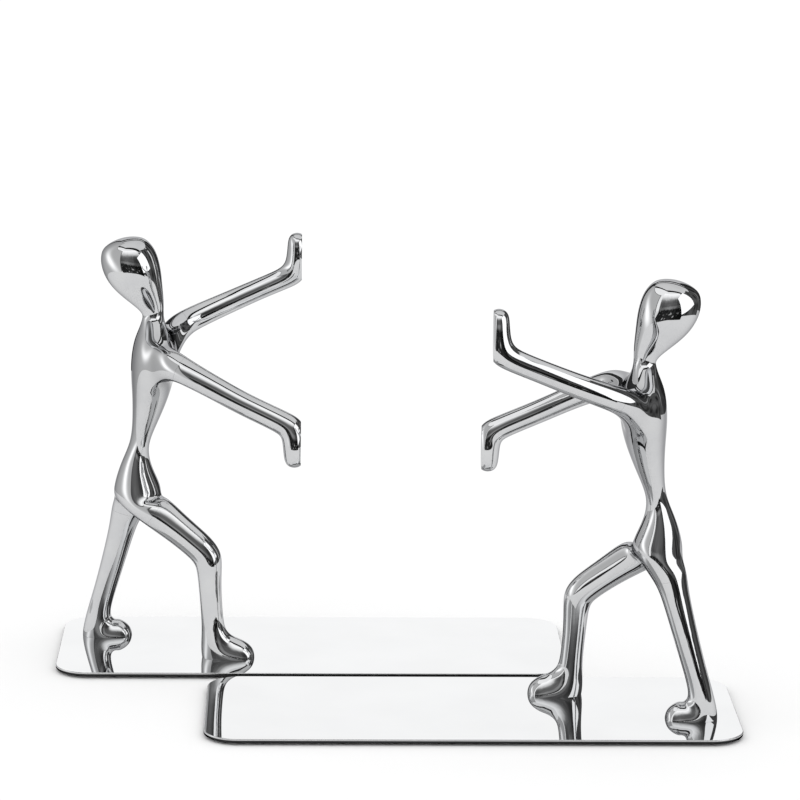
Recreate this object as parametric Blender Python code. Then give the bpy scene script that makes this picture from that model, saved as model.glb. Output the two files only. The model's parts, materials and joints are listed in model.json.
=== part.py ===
"""A pair of bookends: polished metal figures that lean forward and push the books with both palms.

Both bookends are the same assembly. It is modelled once, in its own frame, and placed twice, the
second time turned half a turn about Z.

The frame of one bookend, in millimetres: X runs from the plate's outer end towards the books, Y to
the figure's left from the plate's centre line, Z up from the shelf. The meshes are in metres.
"""
import math

import bmesh
import bpy
from mathutils import Matrix, Vector

MM = 0.001

# Fits
GAP = 0.3                    # clearance between pieces that touch on the real object
OVERSHOOT = 1.0              # how far a cutter starts outside the face it enters

# Base plate and its anti-slip pads
PLATE_LENGTH = 200.0
PLATE_WIDTH = 80.0
PLATE_THICKNESS = 1.5
PLATE_CORNER_RADIUS = 13.0
PLATE_EDGE_EASING = 0.3
PLATE_CORNER_STEPS = 10
PAD_DIAMETER = 12.0
PAD_THICKNESS = 0.7
PAD_INSET = 14.0             # from the plate's sides to a pad's centre
PAD_SIDES = 24

# Heights that follow from them
PLATE_BOTTOM = PAD_THICKNESS + GAP
PLATE_TOP = PLATE_BOTTOM + PLATE_THICKNESS
SOLE = PLATE_TOP + GAP       # the plane that both soles lie in

# Foot screws: M3, countersunk, driven up through the plate into the feet
SCREW_DIAMETER = 3.0
SCREW_HEAD_DIAMETER = 5.5
SCREW_HEAD_HEIGHT = 1.2
SCREW_LENGTH = 8.0
SCREW_TIP_EASING = 0.4
SCREW_SOCKET = 2.0           # hexagon, across its corners
SCREW_SOCKET_SIDES = 6
SCREW_SOCKET_DEPTH = 0.7
SCREW_SIDES = 20

# Placing of the pair
PALM_PLANE = 95.5            # X of both palms
BOOK_SPACE = 69.0            # between the palms of the two bookends
PLATE_SEPARATION = 4.0       # between the two plates, side by side

# The figure's cage. Each station is (x, y, z, half depth, half width) of a ring of points about the
# limb's centre line, with z measured from the soles. Subdivision rounds the cage off, so the rings
# are drawn larger than the finished sections by these factors.
TRUNK_SIDES = 12
LIMB_SIDES = 8
TRUNK_SWELL = 1.047
LIMB_SWELL = 1.108
TRUNK = [
    (31.2, 0, 60, 10.0, 12.0),
    (30.6, 0, 66, 8.8, 10.6),
    (30.3, 0, 73.5, 5.9, 8.2),
    (31.7, 0, 81.5, 3.3, 6.0),
    (33.8, 0, 90, 4.7, 8.6),
    (36.0, 0, 100, 6.9, 13.4),
    (37.2, 0, 109, 8.6, 18.0),
    (37.6, 0, 117, 8.8, 21.5),
    (37.4, 0, 124, 7.4, 19.5),
    (37.4, 0, 128.5, 5.2, 9.5),
    (37.5, 0, 132, 4.2, 4.8),
    (37.5, 0, 134, 4.1, 4.3),
    (36.8, 0, 137.3, 5.2, 5.1),
    (34.9, 0, 141.3, 7.0, 6.9),
    (32.5, 0, 146, 9.3, 9.2),
    (30.2, 0, 150.3, 10.7, 10.7),
    (28.3, 0, 154.5, 11.1, 11.1),
    (26.7, 0, 158.6, 10.3, 10.3),
    (25.8, 0, 161.9, 8.2, 8.2),
]
RIGHT_ARM = [
    (46.0, -28.2, 119.6, 5.7, 5.6),
    (53.0, -31.6, 116.3, 4.9, 4.9),
    (62.0, -34.6, 112.0, 4.5, 4.5),
    (72.0, -36.8, 106.8, 4.4, 4.4),
    (81.0, -38.0, 102.7, 4.4, 4.4),
    (88.0, -38.8, 99.5, 4.5, 4.6),
    (92.1, -39.2, 97.2, 5.4, 5.1),
    (92.9, -39.5, 92.6, 4.5, 5.6),
    (93.0, -39.6, 87.4, 4.2, 5.5),
    (93.0, -39.6, 82.9, 3.6, 4.7),
]
LEFT_ARM = [
    (46.0, 26.6, 123.4, 5.3, 5.3),
    (53.0, 30.4, 126.6, 4.8, 4.8),
    (62.0, 33.4, 130.2, 4.5, 4.4),
    (72.0, 35.4, 134.4, 4.3, 4.2),
    (81.0, 36.6, 138.2, 4.2, 4.1),
    (88.0, 37.0, 141.1, 4.3, 4.4),
    (92.5, 37.0, 143.6, 5.4, 5.0),
    (93.4, 36.7, 148.6, 4.2, 5.5),
    (93.6, 36.4, 154.0, 3.9, 5.5),
    (93.5, 36.2, 158.9, 3.5, 4.7),
]
RIGHT_LEG = [
    (38.7, -9.2, 56.8, 7.0, 6.6),
    (46.0, -11.4, 51.2, 6.1, 6.0),
    (52.2, -13.0, 46.4, 5.8, 5.6),
    (56.6, -14.1, 42.7, 5.8, 5.4),
    (59.3, -14.8, 39.1, 5.8, 5.1),
    (59.8, -15.4, 34.6, 4.8, 4.8),
    (60.1, -16.2, 26.0, 4.3, 4.3),
    (60.9, -17.1, 16.0, 4.2, 4.2),
    (61.4, -17.6, 9.4, 4.6, 4.5),
    (63.0, -17.8, 1.0, 9.6, 5.4),
    (71.0, -18.0, -1.0, 8.0, 5.8),
    (76.4, -18.1, -2.0, 5.6, 5.0),
]
LEFT_LEG = [
    (26.4, 6.8, 53.5, 6.4, 6.0),
    (24.6, 8.2, 46.0, 5.2, 5.2),
    (22.2, 9.8, 37.0, 4.8, 4.8),
    (18.9, 11.4, 25.0, 4.4, 4.4),
    (15.8, 12.7, 14.5, 4.2, 4.3),
    (14.2, 13.0, 7.9, 4.7, 4.6),
    (13.9, 13.2, -0.4, 9.8, 5.4),
    (21.6, 13.2, -1.4, 8.0, 5.8),
    (26.8, 13.2, -2.2, 5.6, 5.0),
]
CROTCH = (32.0, 0.0, 53.5)
SHOULDER_RING = 6            # the arms leave the trunk between this ring and the next but one
HEAD_CAP_RISE = 3.9
HEAD_CAP_SPREAD = 0.5
LIMB_CAP_RISE = 2.2
LEFTWARD = Vector((0.0, 1.0, 0.0))
FIGURE_LEVELS = 1            # of subdivision
SHARP_ANGLE = 40.0           # degrees, above which an edge is shaded sharp

# Seams: where each casting leaves the torso. A seam is a plane, given by a point on the centre line
# and the direction in which the casting leaves. The box that takes the casting off starts at that
# plane; it reaches so far to the figure's right and left, forwards or upwards, backwards or
# downwards, and along the casting.
SEAMS = {
    "head": ((37.5, 0.0, 133.6), (-0.2, 0.0, 1.0), (20, 20, 25, 25, 40)),
    "right_arm": ((49.0, -29.7, 118.2), (0.86, -0.33, -0.40), (30, 30, 30, 30, 70)),
    "left_arm": ((49.0, 28.3, 124.8), (0.84, 0.38, 0.38), (30, 30, 30, 30, 70)),
    "right_leg": ((38.6, -9.2, 57.4), (0.82, 0.0, -0.57), (20, 8.6, 14, 50, 80)),
    "left_leg": ((26.2, 6.9, 52.4), (-0.24, 0.0, -0.97), (6.3, 15, 30, 15, 80)),
}
SPIGOT_RADIUS = 2.2
SPIGOT_LENGTH = 5.0
SPIGOT_ROOT = 1.5            # how far a spigot is sunk into its own casting
SPIGOT_SIDES = 16
CUT_MARGIN = 20.0            # how far the trimming boxes stand beyond the figure

# Where the screws enter the soles
FOOT_SCREWS = {"right_leg": (62.6, -17.8), "left_leg": (14.6, 13.2)}


def make_object(name, mesh):
    obj = bpy.data.objects.new(name, mesh)
    bpy.context.collection.objects.link(obj)
    return obj


def mesh_from(bm, name):
    """Turn a bmesh drawn in millimetres into a mesh in metres."""
    bm.normal_update()
    bmesh.ops.recalc_face_normals(bm, faces=bm.faces)
    bmesh.ops.scale(bm, vec=(MM, MM, MM), verts=bm.verts)
    mesh = bpy.data.meshes.new(name)
    bm.to_mesh(mesh)
    bm.free()
    return mesh


def make_material(name, colour, metallic, roughness):
    mat = bpy.data.materials.new(name)
    mat.use_nodes = True
    shader = mat.node_tree.nodes["Principled BSDF"]
    shader.inputs["Base Color"].default_value = (*colour, 1.0)
    shader.inputs["Metallic"].default_value = metallic
    shader.inputs["Roughness"].default_value = roughness
    return mat


def tangents(stations, start=None):
    """The direction of the centre line at each station."""
    line = [Vector(station[:3]) for station in stations]
    before = [start or line[0]] + line[:-1]
    after = line[1:] + [line[-1]]
    return [(b - a).normalized() for a, b in zip(before, after)]


def ring_points(station, tangent, angles, swell):
    """Points of one ring: an ellipse square to the centre line, its width along the figure's Y."""
    x, y, z, depth, width = station
    side = (LEFTWARD - tangent * LEFTWARD.dot(tangent)).normalized()
    front = side.cross(tangent)
    centre = Vector((x, y, z))
    return [centre + swell * (front * depth * math.cos(a) + side * width * math.sin(a)) for a in angles]


def bridge(bm, ring_a, ring_b, skipped=()):
    count = len(ring_a)
    for i in range(count):
        j = (i + 1) % count
        if i not in skipped:
            bm.faces.new((ring_a[i], ring_a[j], ring_b[j], ring_b[i]))


def cap_trunk(bm, ring, tangent):
    """Close the head's last ring with three rows of three quads."""
    centre = sum((vert.co for vert in ring), Vector()) / len(ring) + tangent * HEAD_CAP_RISE
    inner = [bm.verts.new(centre.lerp(ring[i].co, HEAD_CAP_SPREAD)) for i in range(0, 12, 3)]
    bm.faces.new(inner)
    for corner in range(4):
        a, b = inner[corner], inner[(corner + 1) % 4]
        i = 3 * corner
        bm.faces.new((ring[i - 1], ring[i], ring[i + 1], a))
        bm.faces.new((ring[i + 1], ring[i + 2], b, a))


def cap_limb(bm, ring, tangent):
    """Close a limb's last ring with four quads."""
    centre = sum((vert.co for vert in ring), Vector()) / len(ring)
    middle = bm.verts.new(centre + tangent * LIMB_CAP_RISE)
    for i in range(0, 8, 2):
        bm.faces.new((ring[i - 1], ring[i], ring[(i + 1) % 8], middle))


def extend_limb(bm, root, stations, first_angle, turn):
    """Carry a loop of eight of the trunk's points out along a limb, and close its end."""
    start = sum((vert.co for vert in root), Vector()) / len(root)
    angles = [math.radians(first_angle + turn * 45 * i) for i in range(LIMB_SIDES)]
    loop = root
    for station, tangent in zip(stations, tangents(stations, start)):
        new_loop = [bm.verts.new(p) for p in ring_points(station, tangent, angles, LIMB_SWELL)]
        bridge(bm, loop, new_loop)
        loop = new_loop
    cap_limb(bm, loop, tangent)


def figure_cage():
    """The whole figure as one closed cage of quads."""
    bm = bmesh.new()
    angles = [2 * math.pi * i / TRUNK_SIDES for i in range(TRUNK_SIDES)]
    directions = tangents(TRUNK)
    rings = []
    for station, tangent in zip(TRUNK, directions):
        rings.append([bm.verts.new(p) for p in ring_points(station, tangent, angles, TRUNK_SWELL)])
    holes = {SHOULDER_RING, SHOULDER_RING + 1}
    hole_faces = (1, 2, 9, 10)
    for i, (lower, upper) in enumerate(zip(rings, rings[1:])):
        bridge(bm, lower, upper, hole_faces if i in holes else ())
    cap_trunk(bm, rings[-1], directions[-1])

    low, middle, high = rings[SHOULDER_RING:SHOULDER_RING + 3]
    left_root = low[1:4] + [middle[3]] + high[3:0:-1] + [middle[1]]
    right_root = low[9:12] + [middle[11]] + high[11:8:-1] + [middle[9]]
    extend_limb(bm, left_root, LEFT_ARM, -45, 1)
    extend_limb(bm, right_root, RIGHT_ARM, -45, 1)

    crotch = bm.verts.new(CROTCH)
    bottom = rings[0]
    extend_limb(bm, bottom[0:7] + [crotch], LEFT_LEG, 225, -1)
    extend_limb(bm, bottom[6:12] + [bottom[0], crotch], RIGHT_LEG, 45, -1)
    return bm


def box(low, high):
    bm = bmesh.new()
    bmesh.ops.create_cube(bm, size=1.0)
    for vert in bm.verts:
        for axis in range(3):
            vert.co[axis] = high[axis] if vert.co[axis] > 0 else low[axis]
    return bm


def turned(profile, sides):
    """A closed solid turned about Z from (radius, height) pairs that run from bottom to top."""
    bm = bmesh.new()
    rings = []
    for radius, height in profile:
        turn = [2 * math.pi * i / sides for i in range(sides)]
        rings.append([bm.verts.new((radius * math.cos(a), radius * math.sin(a), height)) for a in turn])
    for lower, upper in zip(rings, rings[1:]):
        bridge(bm, lower, upper)
    bm.faces.new(rings[0])
    bm.faces.new(rings[-1])
    return bm


def seam_frame(seam):
    """Axes of a seam: along the casting (Z), the figure's left (Y), and the third one (X)."""
    point, direction, _ = SEAMS[seam]
    along = Vector(direction).normalized()
    side = (LEFTWARD - along * LEFTWARD.dot(along)).normalized()
    matrix = Matrix((side.cross(along), side, along)).transposed().to_4x4()
    matrix.translation = Vector(point)
    return matrix


def seam_box(seam, start):
    right, left, ahead, behind, length = SEAMS[seam][2]
    bm = box((-ahead, -right, start), (behind, left, length))
    bm.transform(seam_frame(seam))
    return bm


def spigot(seam, clearance):
    """The round peg on a casting's root, or with a clearance its socket in the torso."""
    radius = SPIGOT_RADIUS + clearance
    bm = turned([(radius, -SPIGOT_LENGTH - clearance), (radius, SPIGOT_ROOT)], SPIGOT_SIDES)
    bm.transform(seam_frame(seam))
    return bm


def trimming_box():
    """All that lies behind the palm plane and above the soles."""
    far = PLATE_LENGTH
    return box((-CUT_MARGIN, -far, 0.0), (PALM_PLANE, far, far))


def screw_hole(leg):
    x, y = FOOT_SCREWS[leg]
    radius = SCREW_DIAMETER / 2 + GAP
    top = PLATE_BOTTOM + SCREW_LENGTH - SOLE + GAP
    bm = turned([(radius, -OVERSHOOT), (radius, top)], SCREW_SIDES)
    bmesh.ops.translate(bm, vec=(x, y, 0), verts=bm.verts)
    return bm


def carve(name, base, steps, levels=0):
    """Subdivide a bmesh, apply Boolean steps to it in turn, and return the finished mesh."""
    obj = make_object(name, mesh_from(base, name))
    if levels:
        rounding = obj.modifiers.new("rounding", "SUBSURF")
        rounding.levels = levels
        rounding.render_levels = levels
    cutters = []
    for operation, shape in steps:
        cutter = make_object("cutter", mesh_from(shape, "cutter"))
        cutter.hide_render = True
        cutter.display_type = "WIRE"
        cutters.append(cutter)
        cut = obj.modifiers.new(operation.lower(), "BOOLEAN")
        cut.operation = operation
        cut.object = cutter
        cut.solver = "EXACT"
    depsgraph = bpy.context.evaluated_depsgraph_get()
    mesh = bpy.data.meshes.new_from_object(obj.evaluated_get(depsgraph))
    mesh.name = name
    for used in [obj] + cutters:
        bpy.data.objects.remove(used, do_unlink=True)
    return mesh


def casting_mesh(seam):
    """One limb or the head: the figure beyond its seam, with its spigot."""
    steps = [
        ("INTERSECT", trimming_box()),
        ("INTERSECT", seam_box(seam, GAP / 2)),
        ("UNION", spigot(seam, 0.0)),
    ]
    if seam in FOOT_SCREWS:
        steps.append(("DIFFERENCE", screw_hole(seam)))
    return carve(seam, figure_cage(), steps, FIGURE_LEVELS)


def torso_mesh():
    steps = [("DIFFERENCE", seam_box(seam, -GAP / 2)) for seam in SEAMS]
    steps += [("DIFFERENCE", spigot(seam, GAP)) for seam in SEAMS]
    return carve("torso", figure_cage(), steps, FIGURE_LEVELS)


def plate_outline(inset):
    """The rounded rectangle of the plate, drawn this far inside its edge."""
    radius = PLATE_CORNER_RADIUS - inset
    half_width = PLATE_WIDTH / 2 - PLATE_CORNER_RADIUS
    near, far = PLATE_CORNER_RADIUS, PLATE_LENGTH - PLATE_CORNER_RADIUS
    corners = [(far, half_width), (near, half_width), (near, -half_width), (far, -half_width)]
    points = []
    for quarter, (x, y) in enumerate(corners):
        for step in range(PLATE_CORNER_STEPS + 1):
            angle = (quarter + step / PLATE_CORNER_STEPS) * math.pi / 2
            points.append((x + radius * math.cos(angle), y + radius * math.sin(angle)))
    return points


def plate_mesh():
    bm = bmesh.new()
    layers = [
        (PLATE_EDGE_EASING, PLATE_BOTTOM),
        (0.0, PLATE_BOTTOM + PLATE_EDGE_EASING),
        (0.0, PLATE_TOP - PLATE_EDGE_EASING),
        (PLATE_EDGE_EASING, PLATE_TOP),
    ]
    rings = [[bm.verts.new((x, y, z)) for x, y in plate_outline(inset)] for inset, z in layers]
    for lower, upper in zip(rings, rings[1:]):
        bridge(bm, lower, upper)
    bm.faces.new(rings[0])
    bm.faces.new(rings[-1])
    steps = []
    for x, y in FOOT_SCREWS.values():
        shank = SCREW_DIAMETER / 2 + GAP
        head = SCREW_HEAD_DIAMETER / 2 + GAP
        profile = [
            (head, PLATE_BOTTOM - OVERSHOOT),
            (head, PLATE_BOTTOM),
            (shank, PLATE_BOTTOM + SCREW_HEAD_HEIGHT),
            (shank, PLATE_TOP + OVERSHOOT),
        ]
        hole = turned(profile, SCREW_SIDES)
        bmesh.ops.translate(hole, vec=(x, y, 0), verts=hole.verts)
        steps.append(("DIFFERENCE", hole))
    return carve("base_plate", bm, steps)


def screw_mesh():
    """A countersunk socket screw, its head down, with its face at the plate's underside."""
    shank = SCREW_DIAMETER / 2
    bottom = PLATE_BOTTOM
    tip = bottom + SCREW_LENGTH
    profile = [
        (SCREW_HEAD_DIAMETER / 2, bottom),
        (shank, bottom + SCREW_HEAD_HEIGHT),
        (shank, tip - SCREW_TIP_EASING),
        (shank - SCREW_TIP_EASING, tip),
    ]
    body = turned(profile, SCREW_SIDES)
    reach = SCREW_SOCKET / 2
    socket = turned([(reach, bottom - OVERSHOOT), (reach, bottom + SCREW_SOCKET_DEPTH)], SCREW_SOCKET_SIDES)
    return carve("foot_screw", body, [("DIFFERENCE", socket)])


def pad_mesh():
    radius = PAD_DIAMETER / 2
    return mesh_from(turned([(radius, 0.0), (radius, PAD_THICKNESS)], PAD_SIDES), "pad")


def place(name, mesh, material, parent, x=0.0, y=0.0, z=0.0):
    """Put a piece into a bookend, at a place in that bookend's own frame."""
    obj = make_object(name, mesh)
    obj.parent = parent
    obj.location = (x * MM, y * MM, z * MM)
    if not mesh.materials:
        mesh.materials.append(material)
    return obj


def place_bookend(name, meshes, materials, x, y, turn):
    """One bookend: an empty at its plate's outer end, and its pieces in that frame."""
    frame = make_object(name, None)
    frame.location = (x * MM, y * MM, 0.0)
    frame.rotation_euler = (0.0, 0.0, turn)
    place(name + "_base_plate", meshes["base_plate"], materials["plate"], frame)
    for casting in ("torso", *SEAMS):
        place(f"{name}_{casting}", meshes[casting], materials["figure"], frame, z=SOLE)
    for leg, (screw_x, screw_y) in FOOT_SCREWS.items():
        foot = leg.replace("leg", "foot")
        place(f"{name}_{foot}_screw", meshes["screw"], materials["screw"], frame, screw_x, screw_y)
    for end, pad_x in (("outer", PAD_INSET), ("inner", PLATE_LENGTH - PAD_INSET)):
        for side, pad_y in (("left", PLATE_WIDTH / 2 - PAD_INSET), ("right", PAD_INSET - PLATE_WIDTH / 2)):
            place(f"{name}_{end}_{side}_pad", meshes["pad"], materials["pad"], frame, pad_x, pad_y)


def main():
    for old in list(bpy.data.objects):
        bpy.data.objects.remove(old, do_unlink=True)
    materials = {
        "figure": make_material("polished_chrome", (0.80, 0.81, 0.82), 1.0, 0.05),
        "plate": make_material("polished_steel", (0.83, 0.84, 0.85), 1.0, 0.04),
        "screw": make_material("zinc_plated_steel", (0.60, 0.61, 0.62), 1.0, 0.30),
        "pad": make_material("black_rubber", (0.03, 0.03, 0.03), 0.0, 0.80),
    }
    meshes = {seam: casting_mesh(seam) for seam in SEAMS}
    meshes["torso"] = torso_mesh()
    meshes["base_plate"] = plate_mesh()
    meshes["screw"] = screw_mesh()
    meshes["pad"] = pad_mesh()
    for mesh in meshes.values():
        mesh.shade_smooth()
        mesh.set_sharp_from_angle(angle=math.radians(SHARP_ANGLE))
    outer_end = BOOK_SPACE / 2 + PALM_PLANE
    centre_line = (PLATE_SEPARATION + PLATE_WIDTH) / 2
    place_bookend("left_bookend", meshes, materials, -outer_end, centre_line, 0.0)
    place_bookend("right_bookend", meshes, materials, outer_end, -centre_line, math.pi)


main()
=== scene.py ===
"""The looks of the pair of bookends: polished chrome figures on mirror-polished plates.

Each bookend is drawn in its own frame, as in the design: in millimetres, X from the plate's outer
end towards the books, Y to the figure's left from the plate's centre line, Z up from the shelf.
"""
import json
import math

import bmesh
import bpy
from mathutils import Matrix, Vector, noise
from mathutils.bvhtree import BVHTree
from mathutils.interpolate import poly_3d_calc

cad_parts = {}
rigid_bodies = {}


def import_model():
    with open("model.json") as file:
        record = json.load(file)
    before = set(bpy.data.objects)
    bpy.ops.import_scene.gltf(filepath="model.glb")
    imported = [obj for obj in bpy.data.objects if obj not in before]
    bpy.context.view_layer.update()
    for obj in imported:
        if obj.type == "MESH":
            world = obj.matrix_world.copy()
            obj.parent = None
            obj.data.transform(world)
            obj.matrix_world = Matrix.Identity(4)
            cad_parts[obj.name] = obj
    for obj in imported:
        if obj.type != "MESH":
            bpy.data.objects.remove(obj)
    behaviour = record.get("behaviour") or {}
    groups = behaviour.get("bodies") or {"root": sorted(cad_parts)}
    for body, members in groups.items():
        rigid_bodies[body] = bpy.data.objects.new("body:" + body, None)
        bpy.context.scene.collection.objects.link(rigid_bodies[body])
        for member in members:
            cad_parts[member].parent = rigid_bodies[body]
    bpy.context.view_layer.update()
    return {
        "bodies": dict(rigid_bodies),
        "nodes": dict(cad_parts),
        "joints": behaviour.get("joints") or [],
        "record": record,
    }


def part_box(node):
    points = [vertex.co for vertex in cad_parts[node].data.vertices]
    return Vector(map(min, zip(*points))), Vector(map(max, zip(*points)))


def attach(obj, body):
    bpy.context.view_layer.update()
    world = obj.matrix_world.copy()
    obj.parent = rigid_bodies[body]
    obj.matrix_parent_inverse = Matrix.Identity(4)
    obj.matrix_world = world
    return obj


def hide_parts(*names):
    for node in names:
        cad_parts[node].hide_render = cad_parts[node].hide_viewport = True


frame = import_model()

MM = 0.001

# The sizes of the design
PLATE_LENGTH = 200.0
PLATE_WIDTH = 80.0
PLATE_BOTTOM = 1.0
PLATE_TOP = 2.5
PLATE_CORNER_RADIUS = 13.0
PLATE_EDGE_EASING = 0.3
PAD_DIAMETER = 12.0
PAD_INSET = 14.0             # from the plate's sides to a pad's centre
SOLE = 2.8                   # the figure's own zero height
SCREW_DIAMETER = 3.0
SCREW_HEAD_DIAMETER = 5.5
SCREW_HEAD_HEIGHT = 1.2
SCREW_LENGTH = 8.0
SCREW_SOCKET = 2.0           # hexagon, across its corners
SCREW_SOCKET_SIDES = 6
SCREW_SOCKET_DEPTH = 0.7
PALM_PLANE = 95.5            # X of both palms
FOOT_SCREWS = {"right_leg": (62.6, -17.8), "left_leg": (14.6, 13.2)}

# The small roundings of the screws and pads, as (inset, rise) from an edge, bottom point first
SCREW_RIM = [(0.12, 0.0), (0.03, 0.05), (0.0, 0.14)]
SCREW_TIP = [(0.0, -0.5), (0.4, 0.0)]
SCREW_TIP_ROOM = 0.1         # between the screw's tip and the end of its hole
SOCKET_END = (0.6, 0.25)     # the drilled hollow at the end of the screw's socket
PAD_RIM = [(1.6, 0.08), (1.2, 0.0), (0.25, 0.0), (0.08, 0.07), (0.0, 0.25)]
PAD_TOP_EASING = 0.1

# The figure's cage: rings of points at (x, y, z, half depth, half width), z from the figure's zero.
# Subdivision rounds the cage off, so the rings are drawn larger by the two swells.
TRUNK_SIDES = 12
LIMB_SIDES = 8
TRUNK_SWELL = 1.047
LIMB_SWELL = 1.108
TRUNK = [
    (31.2, 0, 60, 10.0, 12.0),
    (30.6, 0, 66, 8.8, 10.6),
    (30.3, 0, 73.5, 5.9, 8.2),
    (31.7, 0, 81.5, 3.3, 6.0),
    (33.8, 0, 90, 4.7, 8.6),
    (36.0, 0, 100, 6.9, 13.4),
    (37.2, 0, 109, 8.6, 18.0),
    (37.6, 0, 117, 8.8, 21.5),
    (37.4, 0, 124, 7.4, 19.5),
    (37.4, 0, 128.5, 5.2, 9.5),
    (37.5, 0, 132, 4.2, 4.8),
    (37.5, 0, 134, 4.1, 4.3),
    (36.8, 0, 137.3, 5.2, 5.1),
    (34.9, 0, 141.3, 7.0, 6.9),
    (32.5, 0, 146, 9.3, 9.2),
    (30.2, 0, 150.3, 10.7, 10.7),
    (28.3, 0, 154.5, 11.1, 11.1),
    (26.7, 0, 158.6, 10.3, 10.3),
    (25.8, 0, 161.9, 8.2, 8.2),
]
RIGHT_ARM = [
    (46.0, -28.2, 119.6, 5.7, 5.6),
    (53.0, -31.6, 116.3, 4.9, 4.9),
    (62.0, -34.6, 112.0, 4.5, 4.5),
    (72.0, -36.8, 106.8, 4.4, 4.4),
    (81.0, -38.0, 102.7, 4.4, 4.4),
    (88.0, -38.8, 99.5, 4.5, 4.6),
    (92.1, -39.2, 97.2, 5.4, 5.1),
    (92.9, -39.5, 92.6, 4.5, 5.6),
    (93.0, -39.6, 87.4, 4.2, 5.5),
    (93.0, -39.6, 82.9, 3.6, 4.7),
]
LEFT_ARM = [
    (46.0, 26.6, 123.4, 5.3, 5.3),
    (53.0, 30.4, 126.6, 4.8, 4.8),
    (62.0, 33.4, 130.2, 4.5, 4.4),
    (72.0, 35.4, 134.4, 4.3, 4.2),
    (81.0, 36.6, 138.2, 4.2, 4.1),
    (88.0, 37.0, 141.1, 4.3, 4.4),
    (92.5, 37.0, 143.6, 5.4, 5.0),
    (93.4, 36.7, 148.6, 4.2, 5.5),
    (93.6, 36.4, 154.0, 3.9, 5.5),
    (93.5, 36.2, 158.9, 3.5, 4.7),
]
RIGHT_LEG = [
    (38.7, -9.2, 56.8, 7.0, 6.6),
    (46.0, -11.4, 51.2, 6.1, 6.0),
    (52.2, -13.0, 46.4, 5.8, 5.6),
    (56.6, -14.1, 42.7, 5.8, 5.4),
    (59.3, -14.8, 39.1, 5.8, 5.1),
    (59.8, -15.4, 34.6, 4.8, 4.8),
    (60.1, -16.2, 26.0, 4.3, 4.3),
    (60.9, -17.1, 16.0, 4.2, 4.2),
    (61.4, -17.6, 9.4, 4.6, 4.5),
    (63.0, -17.8, 1.0, 9.6, 5.4),
    (71.0, -18.0, -1.0, 8.0, 5.8),
    (76.4, -18.1, -2.0, 5.6, 5.0),
]
LEFT_LEG = [
    (26.4, 6.8, 53.5, 6.4, 6.0),
    (24.6, 8.2, 46.0, 5.2, 5.2),
    (22.2, 9.8, 37.0, 4.8, 4.8),
    (18.9, 11.4, 25.0, 4.4, 4.4),
    (15.8, 12.7, 14.5, 4.2, 4.3),
    (14.2, 13.0, 7.9, 4.7, 4.6),
    (13.9, 13.2, -0.4, 9.8, 5.4),
    (21.6, 13.2, -1.4, 8.0, 5.8),
    (26.8, 13.2, -2.2, 5.6, 5.0),
]
CROTCH = (32.0, 0.0, 53.5)
SHOULDER_RING = 6            # the arms leave the trunk between this ring and the next but one
HEAD_CAP_RISE = 3.9
HEAD_CAP_SPREAD = 0.5
LIMB_CAP_RISE = 2.2
LEFTWARD = Vector((0.0, 1.0, 0.0))

# Seams: a point on the centre line, the direction of the casting, and how far the box that takes
# it off reaches: right, left, ahead, behind, and along
SEAMS = {
    "head": ((37.5, 0.0, 133.6), (-0.2, 0.0, 1.0), (20, 20, 25, 25, 40)),
    "right_arm": ((49.0, -29.7, 118.2), (0.86, -0.33, -0.40), (30, 30, 30, 30, 70)),
    "left_arm": ((49.0, 28.3, 124.8), (0.84, 0.38, 0.38), (30, 30, 30, 30, 70)),
    "right_leg": ((38.6, -9.2, 57.4), (0.82, 0.0, -0.57), (20, 8.6, 14, 50, 80)),
    "left_leg": ((26.2, 6.9, 52.4), (-0.24, 0.0, -0.97), (6.3, 15, 30, 15, 80)),
}
SPIGOT_RADIUS = 2.2
SPIGOT_LENGTH = 5.0
SPIGOT_ROOT = 1.5            # how far a spigot is sunk into its own casting

# How finely the looks are made, and how tightly the pieces meet
FIGURE_LEVELS = 3            # of subdivision
ROUND_SIDES = 48             # of a spigot, screw or pad
PLATE_CORNER_STEPS = 24
PLATE_EDGE_STEPS = 4
TOUCH = 0.02                 # clearance between pieces that touch
SEAM_WIDTH = 0.04
CUT_MARGIN = 20.0            # how far the trimming box reaches out behind the plate
OVERSHOOT = 1.0              # about how far a cutter stands out of the faces it goes through
SHARP_ANGLE = 35.0           # degrees, above which an edge is shaded sharp
LEVEL = 0.9                  # the Z of a normal that counts as straight up or down
ON_PLANE = 0.001             # how near to a plane a point counts as in it
ON_FIGURE = 0.05             # how near to the uncut figure a point takes its normal
SAME_WAY = 0.8               # how well that normal has to agree with the face's own


def make_object(name, data):
    obj = bpy.data.objects.new(name, data)
    bpy.context.collection.objects.link(obj)
    return obj


def mesh_from(bm, name):
    """Turn a bmesh drawn in millimetres into a mesh in metres."""
    bm.normal_update()
    bmesh.ops.recalc_face_normals(bm, faces=bm.faces)
    bmesh.ops.scale(bm, vec=(MM, MM, MM), verts=bm.verts)
    mesh = bpy.data.meshes.new(name)
    bm.to_mesh(mesh)
    bm.free()
    return mesh


# ---------------------------------------------------------------- the figure


def tangents(stations, start=None):
    """The direction of the centre line at each station."""
    line = [Vector(station[:3]) for station in stations]
    before = [start or line[0]] + line[:-1]
    after = line[1:] + [line[-1]]
    return [(b - a).normalized() for a, b in zip(before, after)]


def ring_points(station, tangent, angles, swell):
    """Points of one ring: an ellipse square to the centre line, its width along the figure's Y."""
    x, y, z, depth, width = station
    side = (LEFTWARD - tangent * LEFTWARD.dot(tangent)).normalized()
    front = side.cross(tangent)
    centre = Vector((x, y, z))
    return [centre + swell * (front * depth * math.cos(a) + side * width * math.sin(a)) for a in angles]


def bridge(bm, ring_a, ring_b, skipped=()):
    count = len(ring_a)
    for i in range(count):
        j = (i + 1) % count
        if i not in skipped:
            bm.faces.new((ring_a[i], ring_a[j], ring_b[j], ring_b[i]))


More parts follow.
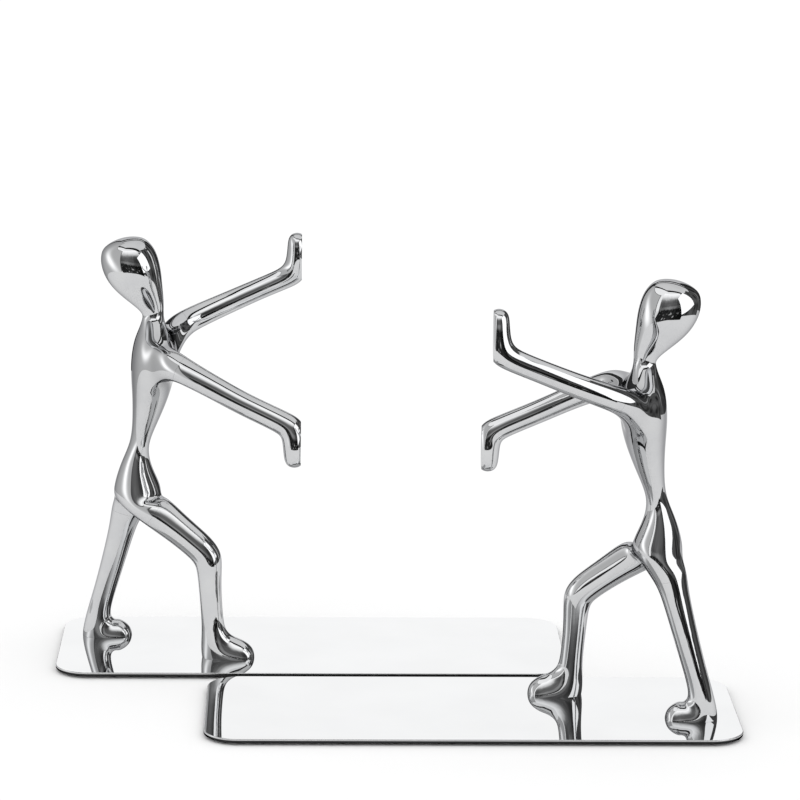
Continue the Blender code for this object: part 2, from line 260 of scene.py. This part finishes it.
def cap_trunk(bm, ring, tangent):
    """Close the head's last ring with three rows of three quads."""
    centre = sum((vert.co for vert in ring), Vector()) / len(ring) + tangent * HEAD_CAP_RISE
    inner = [bm.verts.new(centre.lerp(ring[i].co, HEAD_CAP_SPREAD)) for i in range(0, TRUNK_SIDES, 3)]
    bm.faces.new(inner)
    for corner in range(4):
        a, b = inner[corner], inner[(corner + 1) % 4]
        i = 3 * corner
        bm.faces.new((ring[i - 1], ring[i], ring[i + 1], a))
        bm.faces.new((ring[i + 1], ring[i + 2], b, a))


def cap_limb(bm, ring, tangent):
    """Close a limb's last ring with four quads."""
    centre = sum((vert.co for vert in ring), Vector()) / len(ring)
    middle = bm.verts.new(centre + tangent * LIMB_CAP_RISE)
    for i in range(0, LIMB_SIDES, 2):
        bm.faces.new((ring[i - 1], ring[i], ring[(i + 1) % LIMB_SIDES], middle))


def extend_limb(bm, root, stations, first_angle, turn):
    """Carry a loop of eight of the trunk's points out along a limb, and close its end."""
    start = sum((vert.co for vert in root), Vector()) / len(root)
    angles = [math.radians(first_angle + turn * 360 * i / LIMB_SIDES) for i in range(LIMB_SIDES)]
    loop = root
    for station, tangent in zip(stations, tangents(stations, start)):
        new_loop = [bm.verts.new(p) for p in ring_points(station, tangent, angles, LIMB_SWELL)]
        bridge(bm, loop, new_loop)
        loop = new_loop
    cap_limb(bm, loop, tangent)


def figure_cage():
    """The whole figure as one closed cage of quads."""
    bm = bmesh.new()
    angles = [2 * math.pi * i / TRUNK_SIDES for i in range(TRUNK_SIDES)]
    directions = tangents(TRUNK)
    rings = []
    for station, tangent in zip(TRUNK, directions):
        rings.append([bm.verts.new(p) for p in ring_points(station, tangent, angles, TRUNK_SWELL)])
    holes = {SHOULDER_RING, SHOULDER_RING + 1}
    hole_faces = (1, 2, 9, 10)
    for i, (lower, upper) in enumerate(zip(rings, rings[1:])):
        bridge(bm, lower, upper, hole_faces if i in holes else ())
    cap_trunk(bm, rings[-1], directions[-1])

    low, middle, high = rings[SHOULDER_RING:SHOULDER_RING + 3]
    left_root = low[1:4] + [middle[3]] + high[3:0:-1] + [middle[1]]
    right_root = low[9:12] + [middle[11]] + high[11:8:-1] + [middle[9]]
    extend_limb(bm, left_root, LEFT_ARM, -45, 1)
    extend_limb(bm, right_root, RIGHT_ARM, -45, 1)

    crotch = bm.verts.new(CROTCH)
    bottom = rings[0]
    extend_limb(bm, bottom[0:7] + [crotch], LEFT_LEG, 225, -1)
    extend_limb(bm, bottom[6:12] + [bottom[0], crotch], RIGHT_LEG, 45, -1)
    return bm


def box(low, high):
    bm = bmesh.new()
    bmesh.ops.create_cube(bm, size=1.0)
    for vert in bm.verts:
        for axis in range(3):
            vert.co[axis] = high[axis] if vert.co[axis] > 0 else low[axis]
    return bm


def turned(profile, sides):
    """A closed solid turned about Z from (radius, height) pairs that run from bottom to top."""
    bm = bmesh.new()
    rings = []
    for radius, height in profile:
        turn = [2 * math.pi * i / sides for i in range(sides)]
        rings.append([bm.verts.new((radius * math.cos(a), radius * math.sin(a), height)) for a in turn])
    for lower, upper in zip(rings, rings[1:]):
        bridge(bm, lower, upper)
    bm.faces.new(rings[0])
    bm.faces.new(rings[-1])
    return bm


def seam_frame(seam):
    """Axes of a seam: along the casting (Z), the figure's left (Y), and the third one (X)."""
    point, direction, _ = SEAMS[seam]
    along = Vector(direction).normalized()
    side = (LEFTWARD - along * LEFTWARD.dot(along)).normalized()
    matrix = Matrix((side.cross(along), side, along)).transposed().to_4x4()
    matrix.translation = Vector(point)
    return matrix


def seam_box(seam, start):
    right, left, ahead, behind, length = SEAMS[seam][2]
    bm = box((-ahead, -right, start), (behind, left, length))
    bm.transform(seam_frame(seam))
    return bm


def spigot(seam, clearance):
    """The round peg on a casting's root, or with a clearance its socket in the torso."""
    radius = SPIGOT_RADIUS + clearance
    bm = turned([(radius, -SPIGOT_LENGTH - clearance), (radius, SPIGOT_ROOT)], ROUND_SIDES)
    bm.transform(seam_frame(seam))
    return bm


def trimming_box():
    """All that lies behind the palm plane and above the plate."""
    far = PLATE_LENGTH
    return box((-CUT_MARGIN, -far, PLATE_TOP + TOUCH - SOLE), (PALM_PLANE, far, far))


def screw_hole(leg):
    x, y = FOOT_SCREWS[leg]
    radius = SCREW_DIAMETER / 2 + TOUCH
    top = PLATE_BOTTOM + SCREW_LENGTH - SOLE + TOUCH
    bm = turned([(radius, -OVERSHOOT), (radius, top)], ROUND_SIDES)
    bmesh.ops.translate(bm, vec=(x, y, 0), verts=bm.verts)
    return bm


def carve(name, base, steps, levels=0):
    """Subdivide a bmesh, apply Boolean steps to it in turn, and return the finished mesh."""
    obj = make_object(name, mesh_from(base, name))
    if levels:
        rounding = obj.modifiers.new("rounding", "SUBSURF")
        rounding.levels = levels
        rounding.render_levels = levels
    cutters = []
    for operation, shape in steps:
        cutter = make_object("cutter", mesh_from(shape, "cutter"))
        cutters.append(cutter)
        cut = obj.modifiers.new(operation.lower(), "BOOLEAN")
        cut.operation = operation
        cut.object = cutter
        cut.solver = "EXACT"
    depsgraph = bpy.context.evaluated_depsgraph_get()
    mesh = bpy.data.meshes.new_from_object(obj.evaluated_get(depsgraph))
    mesh.name = name
    for used in [obj] + cutters:
        bpy.data.objects.remove(used, do_unlink=True)
    return mesh


def shade(mesh):
    mesh.shade_smooth()
    mesh.set_sharp_from_angle(angle=math.radians(SHARP_ANGLE))


def follow(mesh, whole, tree):
    """Give a casting the normals of the uncut figure, so that reflections run on across the seams."""
    cache = {}
    normals = []
    for polygon in mesh.polygons:
        for loop in polygon.loop_indices:
            index = mesh.loops[loop].vertex_index
            if index not in cache:
                point, _, face, distance = tree.find_nearest(mesh.vertices[index].co)
                corners = [whole.vertices[i] for i in whole.polygons[face].vertices]
                weights = poly_3d_calc([corner.co for corner in corners], point)
                blend = sum((corner.normal * w for corner, w in zip(corners, weights)), Vector())
                cache[index] = blend.normalized() if distance < ON_FIGURE * MM else Vector()
            normal = cache[index]
            normals.append(normal if normal.dot(polygon.normal) > SAME_WAY else Vector())
    mesh.normals_split_custom_set(normals)


def keep_flat(mesh, low, high):
    """Level the normals of a plate's two faces, at these heights, right up to their rounded edges."""
    normals = [Vector(corner.vector) for corner in mesh.corner_normals]
    for polygon in mesh.polygons:
        if abs(polygon.normal.z) > LEVEL:
            for loop in polygon.loop_indices:
                height = mesh.vertices[mesh.loops[loop].vertex_index].co.z
                if min(abs(height - low * MM), abs(height - high * MM)) < ON_PLANE * MM:
                    normals[loop] = Vector((0.0, 0.0, math.copysign(1.0, polygon.normal.z)))
    mesh.normals_split_custom_set(normals)


def casting_mesh(seam):
    """One limb or the head: the figure beyond its seam, with its spigot."""
    steps = [
        ("INTERSECT", trimming_box()),
        ("INTERSECT", seam_box(seam, SEAM_WIDTH / 2)),
        ("UNION", spigot(seam, 0.0)),
    ]
    if seam in FOOT_SCREWS:
        steps.append(("DIFFERENCE", screw_hole(seam)))
    return carve(seam, figure_cage(), steps, FIGURE_LEVELS)


def torso_mesh():
    steps = [("DIFFERENCE", seam_box(seam, -SEAM_WIDTH / 2)) for seam in SEAMS]
    steps += [("DIFFERENCE", spigot(seam, TOUCH)) for seam in SEAMS]
    return carve("torso", figure_cage(), steps, FIGURE_LEVELS)


def figure_meshes():
    whole = carve("whole", figure_cage(), [], FIGURE_LEVELS)
    corners = [vert.co for vert in whole.vertices]
    tree = BVHTree.FromPolygons(corners, [tuple(polygon.vertices) for polygon in whole.polygons])
    meshes = {seam: casting_mesh(seam) for seam in SEAMS}
    meshes["torso"] = torso_mesh()
    for mesh in meshes.values():
        shade(mesh)
        follow(mesh, whole, tree)
    bpy.data.meshes.remove(whole)
    return meshes


# ---------------------------------------------------------------- plate, screws and pads


def plate_outline(inset):
    """The rounded rectangle of the plate, drawn this far inside its edge."""
    radius = PLATE_CORNER_RADIUS - inset
    half_width = PLATE_WIDTH / 2 - PLATE_CORNER_RADIUS
    near, far = PLATE_CORNER_RADIUS, PLATE_LENGTH - PLATE_CORNER_RADIUS
    corners = [(far, half_width), (near, half_width), (near, -half_width), (far, -half_width)]
    points = []
    for quarter, (x, y) in enumerate(corners):
        for step in range(PLATE_CORNER_STEPS + 1):
            angle = (quarter + step / PLATE_CORNER_STEPS) * math.pi / 2
            points.append((x + radius * math.cos(angle), y + radius * math.sin(angle)))
    return points


def plate_mesh():
    """The plate with rounded-over edges. Its rim and underside take the second and third finish."""
    bm = bmesh.new()
    layers = []
    for step in range(PLATE_EDGE_STEPS + 1):
        angle = step / PLATE_EDGE_STEPS * math.pi / 2
        inset = PLATE_EDGE_EASING * (1 - math.sin(angle))
        layers.append((inset, PLATE_BOTTOM + PLATE_EDGE_EASING * (1 - math.cos(angle))))
    layers += [(inset, PLATE_BOTTOM + PLATE_TOP - z) for inset, z in reversed(layers)]
    rings = [[bm.verts.new((x, y, z)) for x, y in plate_outline(inset)] for inset, z in layers]
    for lower, upper in zip(rings, rings[1:]):
        bridge(bm, lower, upper)
    bm.faces.new(rings[0])
    bm.faces.new(rings[-1])
    steps = []
    for x, y in FOOT_SCREWS.values():
        shank = SCREW_DIAMETER / 2 + TOUCH
        head = SCREW_HEAD_DIAMETER / 2 + TOUCH
        profile = [
            (head, PLATE_BOTTOM - OVERSHOOT),
            (head, PLATE_BOTTOM),
            (shank, PLATE_BOTTOM + SCREW_HEAD_HEIGHT),
            (shank, PLATE_TOP + OVERSHOOT),
        ]
        hole = turned(profile, ROUND_SIDES)
        bmesh.ops.translate(hole, vec=(x, y, 0), verts=hole.verts)
        steps.append(("DIFFERENCE", hole))
    mesh = carve("base_plate", bm, steps)
    for polygon in mesh.polygons:
        if polygon.normal.z > LEVEL:
            polygon.material_index = 0
        elif polygon.normal.z < -LEVEL:
            polygon.material_index = 2
        else:
            polygon.material_index = 1
    return mesh


def screw_mesh():
    """A countersunk socket screw, its head down, with its face at the plate's underside."""
    shank = SCREW_DIAMETER / 2
    head = SCREW_HEAD_DIAMETER / 2
    bottom = PLATE_BOTTOM + TOUCH
    tip = bottom + SCREW_LENGTH - SCREW_TIP_ROOM
    profile = [(head - inset, bottom + rise) for inset, rise in SCREW_RIM]
    profile.append((shank, bottom + SCREW_HEAD_HEIGHT))
    profile += [(shank - inset, tip + rise) for inset, rise in SCREW_TIP]
    body = turned(profile, ROUND_SIDES)
    reach = SCREW_SOCKET / 2
    inset, rise = SOCKET_END
    socket_profile = [
        (reach, bottom - OVERSHOOT),
        (reach, bottom + SCREW_SOCKET_DEPTH),
        (reach - inset, bottom + SCREW_SOCKET_DEPTH + rise),
    ]
    return carve("foot_screw", body, [("DIFFERENCE", turned(socket_profile, SCREW_SOCKET_SIDES))])


def pad_mesh():
    """A rubber disc with a rounded rim and a shallow ring pressed into its underside."""
    radius = PAD_DIAMETER / 2
    top = PLATE_BOTTOM - TOUCH
    profile = [(radius - inset, rise) for inset, rise in PAD_RIM]
    profile += [(radius, top - PAD_TOP_EASING), (radius - PAD_TOP_EASING, top)]
    return mesh_from(turned(profile, ROUND_SIDES), "pad")


# ---------------------------------------------------------------- finishes

CHROME_EDGE = (0.42, 0.42, 0.43, 1.0)    # how much of its shine chrome keeps where it turns away
RIM_PAINTED_SHADE_BELOW = 1.6                     # heights on the plate's rim, in millimetres: below the first it is painted shade, near black, fading up to plain steel at the second
RIM_BRIGHT_ABOVE = 2.3
DARK_BELOW = 0.35                        # values up to which a finish has its dark colour,
LIGHT_ABOVE = 0.65                       # and from which it has its light one


class Finish:
    """A new material, and the ways in which textures vary its shader."""

    def __init__(self, name, metallic=0.0):
        self.material = bpy.data.materials.new(name)
        self.material.use_nodes = True
        self.nodes = self.material.node_tree.nodes
        self.links = self.material.node_tree.links
        self.inputs = self.nodes["Principled BSDF"].inputs
        self.inputs["Metallic"].default_value = metallic

    def place(self):
        """Where the shaded point is in its piece, in metres."""
        return self.nodes.new("ShaderNodeTexCoord").outputs["Object"]

    def noise(self, scale, detail, stretch=None, roughness=0.5):
        """Noise with about this many lumps to a metre, drawn out along axes whose stretch is small."""
        texture = self.nodes.new("ShaderNodeTexNoise")
        texture.inputs["Scale"].default_value = scale
        texture.inputs["Detail"].default_value = detail
        texture.inputs["Roughness"].default_value = roughness
        point = self.place()
        if stretch:
            mapping = self.nodes.new("ShaderNodeMapping")
            mapping.inputs["Scale"].default_value = stretch
            self.links.new(point, mapping.inputs["Vector"])
            point = mapping.outputs["Vector"]
        self.links.new(point, texture.inputs["Vector"])
        return texture.outputs["Fac"]

    def times(self, a, b):
        """The product of two values."""
        product = self.nodes.new("ShaderNodeMath")
        product.operation = "MULTIPLY"
        self.links.new(a, product.inputs[0])
        self.links.new(b, product.inputs[1])
        return product.outputs[0]

    def remap(self, value, low, high, to_low, to_high):
        """The value, with the range from low to high laid over that from to_low to to_high."""
        node = self.nodes.new("ShaderNodeMapRange")
        node.inputs["From Min"].default_value = low
        node.inputs["From Max"].default_value = high
        node.inputs["To Min"].default_value = to_low
        node.inputs["To Max"].default_value = to_high
        self.links.new(value, node.inputs["Value"])
        return node.outputs["Result"]

    def colour(self, value, dark, light, *sockets):
        """Colour these sockets, from dark (r, g, b) where the value is low to light where it is high."""
        ramp = self.nodes.new("ShaderNodeValToRGB")
        ends = ramp.color_ramp.elements
        ends[0].position = DARK_BELOW
        ends[0].color = (*dark, 1.0)
        ends[1].position = LIGHT_ABOVE
        ends[1].color = (*light, 1.0)
        self.links.new(value, ramp.inputs["Fac"])
        for socket in sockets:
            self.links.new(ramp.outputs["Color"], self.inputs[socket])

    def roughen(self, value, smooth, rough, low=0.3, high=0.7):
        """Roughness from smooth, where the value is low, to rough, where it is high."""
        result = self.remap(value, low, high, smooth, rough)
        self.links.new(result, self.inputs["Roughness"])

    def bump(self, value, distance, below=None):
        """Relief this many millimetres high, on top of the relief below."""
        bump = self.nodes.new("ShaderNodeBump")
        bump.inputs["Distance"].default_value = distance * MM
        self.links.new(value, bump.inputs["Height"])
        if below:
            self.links.new(below, bump.inputs["Normal"])
        self.links.new(bump.outputs["Normal"], self.inputs["Normal"])
        return bump.outputs["Normal"]


def chrome():
    """Hand-polished cast metal under chrome: faintly wavy, with soft smudges and fine wipe marks."""
    finish = Finish("polished_chrome_casting", metallic=1.0)
    finish.inputs["Specular Tint"].default_value = CHROME_EDGE
    smudge = finish.noise(70.0, 5.0, roughness=0.6)
    wipes = finish.noise(400.0, 3.0, (1.0, 1.0, 0.12), roughness=0.6)
    finish.colour(smudge, (0.575, 0.58, 0.59), (0.615, 0.62, 0.625), "Base Color")
    finish.roughen(finish.times(smudge, wipes), 0.012, 0.040, low=0.12, high=0.42)
    waves = finish.bump(finish.noise(130.0, 2.0, roughness=0.4), 0.05)
    finish.bump(finish.noise(1400.0, 2.0), 0.0004, below=waves)
    return finish.material


def mirror_plate():
    """The top of the plate: mirror-polished steel with the faintest rolling grain along it."""
    finish = Finish("mirror_polished_steel", metallic=1.0)
    haze = finish.noise(25.0, 4.0)
    finish.colour(haze, (0.62, 0.625, 0.63), (0.645, 0.65, 0.655), "Base Color")
    finish.roughen(haze, 0.012, 0.035)
    finish.bump(finish.noise(900.0, 3.0, (0.03, 1.0, 1.0)), 0.0003)
    return finish.material


def plate_rim():
    """The plate's cut edge: plain bright steel above and painted shade below, a near-black band standing
    in for the dark line along the plate's foot, with fine marks of the wheel round it.
    """
    finish = Finish("satin_steel_rim_painted_shade", metallic=1.0)
    height = finish.nodes.new("ShaderNodeSeparateXYZ")
    finish.links.new(finish.place(), height.inputs["Vector"])
    # painted shade: the lower part of the rim is coloured near black in place of the dark reflection and
    # shadow line at the plate's foot, fading up to the plain steel colour
    above_painted_shade = finish.remap(height.outputs["Z"], RIM_PAINTED_SHADE_BELOW * MM, RIM_BRIGHT_ABOVE * MM, 0.0, 1.0)
    finish.colour(above_painted_shade, (0.030, 0.030, 0.031), (0.62, 0.625, 0.63), "Base Color", "Specular Tint")
    marks = finish.noise(1500.0, 3.0, (0.08, 0.08, 2.0))
    finish.roughen(marks, 0.10, 0.22)
    finish.bump(marks, 0.002)
    return finish.material


def underside():
    """The hidden face of the plate: rough, with the grain of the rolled sheet, and coloured far darker
    than steel as painted shade, so the gap beneath the plate reads dark.
    """
    finish = Finish("dull_steel_underside_painted_shade", metallic=1.0)
    grain = finish.noise(700.0, 4.0, (0.04, 1.0, 1.0))
    # painted shade: a near-black base colour, far darker than steel, so that the gap beneath the plate
    # reads dark
    finish.colour(grain, (0.10, 0.10, 0.105), (0.15, 0.15, 0.155), "Base Color")
    finish.roughen(grain, 0.40, 0.60)
    finish.bump(grain, 0.003)
    return finish.material


def zinc():
    """The screws' plating, with its fine spangle."""
    finish = Finish("zinc_plated_screw", metallic=1.0)
    spangle = finish.noise(900.0, 4.0)
    finish.colour(spangle, (0.50, 0.52, 0.55), (0.62, 0.63, 0.64), "Base Color")
    finish.roughen(spangle, 0.22, 0.40)
    finish.bump(spangle, 0.004)
    return finish.material


def rubber():
    """The pads' matt black, slightly grained."""
    finish = Finish("black_pad_rubber")
    grain = finish.noise(2500.0, 4.0)
    finish.colour(grain, (0.018, 0.018, 0.019), (0.040, 0.040, 0.042), "Base Color")
    finish.roughen(grain, 0.65, 0.9)
    finish.bump(grain, 0.03)
    return finish.material


# ---------------------------------------------------------------- assembly


def show(bookend, part, mesh, finishes, x=0.0, y=0.0, z=0.0):
    """Put a piece in place of its CAD node, at a place in its bookend's own frame."""
    corner_low, corner_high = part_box(bookend + "_base_plate")
    obj = make_object(bookend.split("_")[0] + "_" + part, mesh.copy())
    for finish in finishes:
        obj.data.materials.append(finish)
    faces_left = bookend == "right_bookend"
    outer_end = corner_high.x if faces_left else corner_low.x
    origin = Vector((outer_end, (corner_low.y + corner_high.y) / 2, 0.0))
    turn = Matrix.Rotation(math.pi if faces_left else 0.0, 4, "Z")
    offset = Vector((x, y, z)) * MM
    obj.matrix_world = Matrix.Translation(origin) @ turn @ Matrix.Translation(offset)
    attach(obj, bookend)
    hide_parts(bookend + "_" + part)


def build_bookends():
    castings = figure_meshes()
    plate = plate_mesh()
    screw = screw_mesh()
    pad = pad_mesh()
    for mesh in (plate, screw, pad):
        shade(mesh)
    keep_flat(plate, PLATE_BOTTOM, PLATE_TOP)
    figure_finish, plating, black = chrome(), zinc(), rubber()
    plate_finishes = [mirror_plate(), plate_rim(), underside()]
    for bookend in ("left_bookend", "right_bookend"):
        show(bookend, "base_plate", plate, plate_finishes)
        for name, mesh in castings.items():
            show(bookend, name, mesh, [figure_finish], z=SOLE)
        for leg, (x, y) in FOOT_SCREWS.items():
            show(bookend, leg.replace("leg", "foot") + "_screw", screw, [plating], x, y)
        for end, x in (("outer", PAD_INSET), ("inner", PLATE_LENGTH - PAD_INSET)):
            for side, y in (("left", PLATE_WIDTH / 2 - PAD_INSET), ("right", PAD_INSET - PLATE_WIDTH / 2)):
                show(bookend, f"{end}_{side}_pad", pad, [black], x, y)


# ---------------------------------------------------------------- studio, in metres

CAMERA_PLACE = (-0.033, -1.366, 0.4133)
CAMERA_PITCH = 12.44         # degrees downwards
CAMERA_YAW = 1.52            # degrees to the right
CAMERA_ROLL = 0.60
CAMERA_LENS = 164.9          # millimetres, as is the sensor's width
CAMERA_SENSOR = 36.0
FLOOR_REACH = 12.0           # from its middle
FLOOR_CELLS = 8              # along each side
ROOM_LIGHT = 1.3             # strength of the white light from all round

# What the metal reflects: a tent of sheets, each over a range of azimuths in degrees, which run
# from the camera (0) to its right (90). Tones are pairs of height in degrees and brightness.
EYE_HEIGHT = 0.12            # from which heights in degrees are measured
SHEET_LIFT = 0.0006          # of a reflector that lies on the floor
ROOM = 3.0                   # radius of the far walls
FRONT_TONES = [(0, 0.025), (1.5, 0.18), (4, 0.31), (8, 0.28), (10, 0.15), (20, 0.18), (27, 0.30),
               (33, 0.75), (42, 1.30), (50, 1.60)]
SOFTBOX = [(0.323, -0.307, 0.035), (0.487, -0.030, 0.14), (0.400, -0.149, 0.58), (0.257, -0.442, 0.42)]
SOFTBOX_TONE = 1.75
OVERHEAD = [(-0.5, -0.98, 2.5), (2.1, -1.45, 2.5), (4.6, 2.6, 2.5), (-2.9, 3.2, 2.5)]
OVERHEAD_TONE = 0.93
OVERHEAD_FRAME = 0.10        # dark edge, as a share of its size
OVERHEAD_FRAME_TONE = 0.01
FLAG_TONE = 0.05


def add_camera():
    camera = make_object("camera", bpy.data.cameras.new("camera"))
    camera.data.lens = CAMERA_LENS
    camera.data.sensor_width = CAMERA_SENSOR
    camera.data.clip_start = 0.05
    camera.data.clip_end = 50.0
    pitch, yaw, roll = (math.radians(angle) for angle in (CAMERA_PITCH, CAMERA_YAW, CAMERA_ROLL))
    ahead = Vector((math.sin(yaw) * math.cos(pitch), math.cos(yaw) * math.cos(pitch), -math.sin(pitch)))
    right = Vector((math.cos(yaw), -math.sin(yaw), 0.0))
    up = right.cross(ahead)
    tilted_right = right * math.cos(roll) + up * math.sin(roll)
    tilted_up = up * math.cos(roll) - right * math.sin(roll)
    matrix = Matrix((tilted_right, tilted_up, -ahead)).transposed().to_4x4()
    matrix.translation = Vector(CAMERA_PLACE)
    camera.matrix_world = matrix
    bpy.context.scene.camera = camera


def add_floor():
    finish = Finish("pale_floor")
    finish.inputs["Base Color"].default_value = (0.80, 0.80, 0.80, 1.0)
    finish.inputs["Roughness"].default_value = 0.9
    finish.inputs["Specular IOR Level"].default_value = 0.0
    bm = bmesh.new()
    bmesh.ops.create_grid(bm, x_segments=FLOOR_CELLS, y_segments=FLOOR_CELLS, size=FLOOR_REACH)
    mesh = bpy.data.meshes.new("floor")
    bm.to_mesh(mesh)
    bm.free()
    mesh.materials.append(finish.material)
    floor = make_object("floor", mesh)


def reflector_material():
    """Light of the strength painted on the mesh. It lights nothing: it is only seen in the metal."""
    mat = bpy.data.materials.new("reflector")
    mat.use_nodes = True
    nodes, links = mat.node_tree.nodes, mat.node_tree.links
    nodes.clear()
    paint = nodes.new("ShaderNodeAttribute")
    paint.attribute_name = "brightness"
    light = nodes.new("ShaderNodeEmission")
    output = nodes.new("ShaderNodeOutputMaterial")
    links.new(paint.outputs["Fac"], light.inputs["Color"])
    links.new(light.outputs["Emission"], output.inputs["Surface"])
    mat.cycles.emission_sampling = "NONE"
    return mat


def add_reflector(name, rows, mat):
    """A sheet through rows of (x, y, z, brightness) points, which only glossy surfaces see."""
    bm = bmesh.new()
    layer = bm.verts.layers.float.new("brightness")
    grid = []
    for row in rows:
        line = []
        for x, y, z, brightness in row:
            vert = bm.verts.new((x, y, z))
            vert[layer] = brightness
            line.append(vert)
        grid.append(line)
    for lower, upper in zip(grid, grid[1:]):
        for i in range(len(lower) - 1):
            bm.faces.new((lower[i], lower[i + 1], upper[i + 1], upper[i]))
    mesh = bpy.data.meshes.new(name)
    bm.to_mesh(mesh)
    bm.free()
    mesh.materials.append(mat)
    obj = make_object(name, mesh)
    obj.visible_camera = False
    obj.visible_diffuse = False
    obj.visible_transmission = False
    obj.visible_volume_scatter = False
    obj.visible_shadow = False


def sector(first, last, profile, paint, steps):
    """Rows of a sheet of the tent, from azimuth first to last. The profile gives (radius, height)
    from the floor upwards, and paint the brightness at an azimuth and at a height in degrees."""
    rows = []
    for radius, height in profile:
        up = math.degrees(math.atan2(height - EYE_HEIGHT, radius))
        row = []
        for i in range(steps + 1):
            azimuth = first + (last - first) * i / steps
            angle = math.radians(azimuth)
            row.append((radius * math.sin(angle), -radius * math.cos(angle), height, paint(azimuth, up)))
        rows.append(row)
    return rows


def wall(inner, outer, top, floor_steps=24, wall_steps=60):
    """A profile that runs out over the floor and then up."""
    flat = [(inner * (outer / inner) ** (i / floor_steps), SHEET_LIFT) for i in range(floor_steps + 1)]
    return flat + [(outer, SHEET_LIFT + top * i / wall_steps) for i in range(1, wall_steps + 1)]


def panel(corners, steps, paint):
    """Rows of a flat or slightly twisted panel: paint gets (across, up) from 0 to 1, and the place."""
    low_left, low_right, high_right, high_left = (Vector(corner) for corner in corners)
    rows = []
    for j in range(steps + 1):
        v = j / steps
        row = []
        for i in range(steps + 1):
            u = i / steps
            point = low_left.lerp(low_right, u).lerp(high_left.lerp(high_right, u), v)
            row.append((*point, paint(u, v, point)))
        rows.append(row)
    return rows


def fade(value, low, high):
    """0 below low, 1 above high, and smooth between them."""
    t = min(1.0, max(0.0, (value - low) / (high - low)))
    return t * t * (3 - 2 * t)


def graph(value, points):
    """The value of a line through (position, value) points, flat beyond its ends."""
    if value <= points[0][0]:
        return points[0][1]
    for (a, low), (b, high) in zip(points, points[1:]):
        if value <= b:
            return low + (high - low) * (value - a) / (b - a)
    return points[-1][1]


def hump(value, centre, width):
    """1 at the centre, falling off on both sides."""
    return math.exp(-((value - centre) / width) ** 2)


def patches(azimuth, up, size, seed):
    """Irregular patches of about this many degrees, from about -1 to 1."""
    return noise.fractal(Vector((azimuth / size, up / size, seed)), 0.8, 2.0, 4)


def paint_front(azimuth, up):
    """The dark room behind the camera: clutter low down, rising to a white ceiling."""
    level = up + 2.5 * patches(azimuth, up, 9.0, 12.0)
    below_ceiling = 1 - fade(up, 26, 36)
    base = graph(level, FRONT_TONES)
    base *= 1 - 0.6 * fade(azimuth, 14, 24) * below_ceiling
    clutter = 1 - fade(level, -0.5, 2)
    spots = 0.5 * fade(patches(azimuth, 1.6 * up, 9.0, 3.0), 0.40, 0.6)
    soft = 1 + 0.5 * patches(azimuth, 0.6 * up, 22.0, 8.0) * (1 - fade(up, 28, 40))
    rough = 1 + 0.9 * clutter * patches(azimuth, up, 6.0, 1.0)
    return max(0.006, base * soft * rough + clutter * spots)


def paint_left(azimuth, up):
    """A pale grey panel with a slanting glow and a dark frame."""
    ridge = 5 - 0.7 * (azimuth + 90)
    glow = hump(up, ridge, 12) * hump(azimuth, -88, 26)
    frame = max(fade(azimuth, -50, -47.5), fade(up, 46.5, 48))
    return (0.66 + 1.2 * glow) * (1 - 0.82 * frame)


def paint_right(azimuth, up):
    """The dark side of the room, with a bright gap in it."""
    gap = hump(azimuth, 128, 1.6) * hump(up, 10, 16)
    return max(0.015, 0.085 + 0.12 * patches(azimuth, 0.4 * up, 9.0, 5.0) + 0.45 * gap)


def paint_flag(azimuth, up):
    return FLAG_TONE


def paint_softbox(u, v, point):
    return SOFTBOX_TONE + 0.10 * noise.noise(point * 40)


def paint_overhead(u, v, point):
    """An even white sheet with a dark frame, which is wider towards the camera."""
    edge = min(u, 1 - u, v * 0.7, 1 - v)
    return OVERHEAD_FRAME_TONE if edge < OVERHEAD_FRAME else OVERHEAD_TONE + 0.06 * noise.noise(point)


def add_reflectors():
    """The tent: walls with their (first, last) azimuth and (inner, outer radius, top), and two panels."""
    mat = reflector_material()
    flag = wall(0.60, ROOM, 2.2)
    high_flag = [(ROOM, 1.70), (ROOM, 2.20)]
    sheets = {
        "front": sector(-45, 48, wall(0.36, ROOM, 4.2), paint_front, 220),
        "left": sector(-46, -150, wall(0.40, 0.43, 0.60, floor_steps=2), paint_left, 160),
        "right": sector(48, 113, wall(0.46, 0.60, 0.75, floor_steps=6), paint_right, 100),
        "right_back": sector(113, 149, wall(0.60, ROOM, 3.0), paint_right, 80),
        "softbox": panel(SOFTBOX, 24, paint_softbox),
        "overhead": panel(OVERHEAD, 60, paint_overhead),
        "flag_right": sector(149, 161, flag, paint_flag, 8),
        "flag_left": sector(196, 214, flag, paint_flag, 8),
        "flag_back": sector(161, 196, high_flag, paint_flag, 16),
    }
    for name, rows in sheets.items():
        add_reflector("reflector_" + name, rows, mat)


def add_light():
    world = bpy.data.worlds.new("studio")
    bpy.context.scene.world = world
    world.use_nodes = True
    background = world.node_tree.nodes["Background"]
    background.inputs["Color"].default_value = (1.0, 1.0, 1.0, 1.0)
    background.inputs["Strength"].default_value = ROOM_LIGHT
    bpy.context.scene.view_settings.view_transform = "Standard"


build_bookends()
add_floor()
add_reflectors()
add_light()
add_camera()
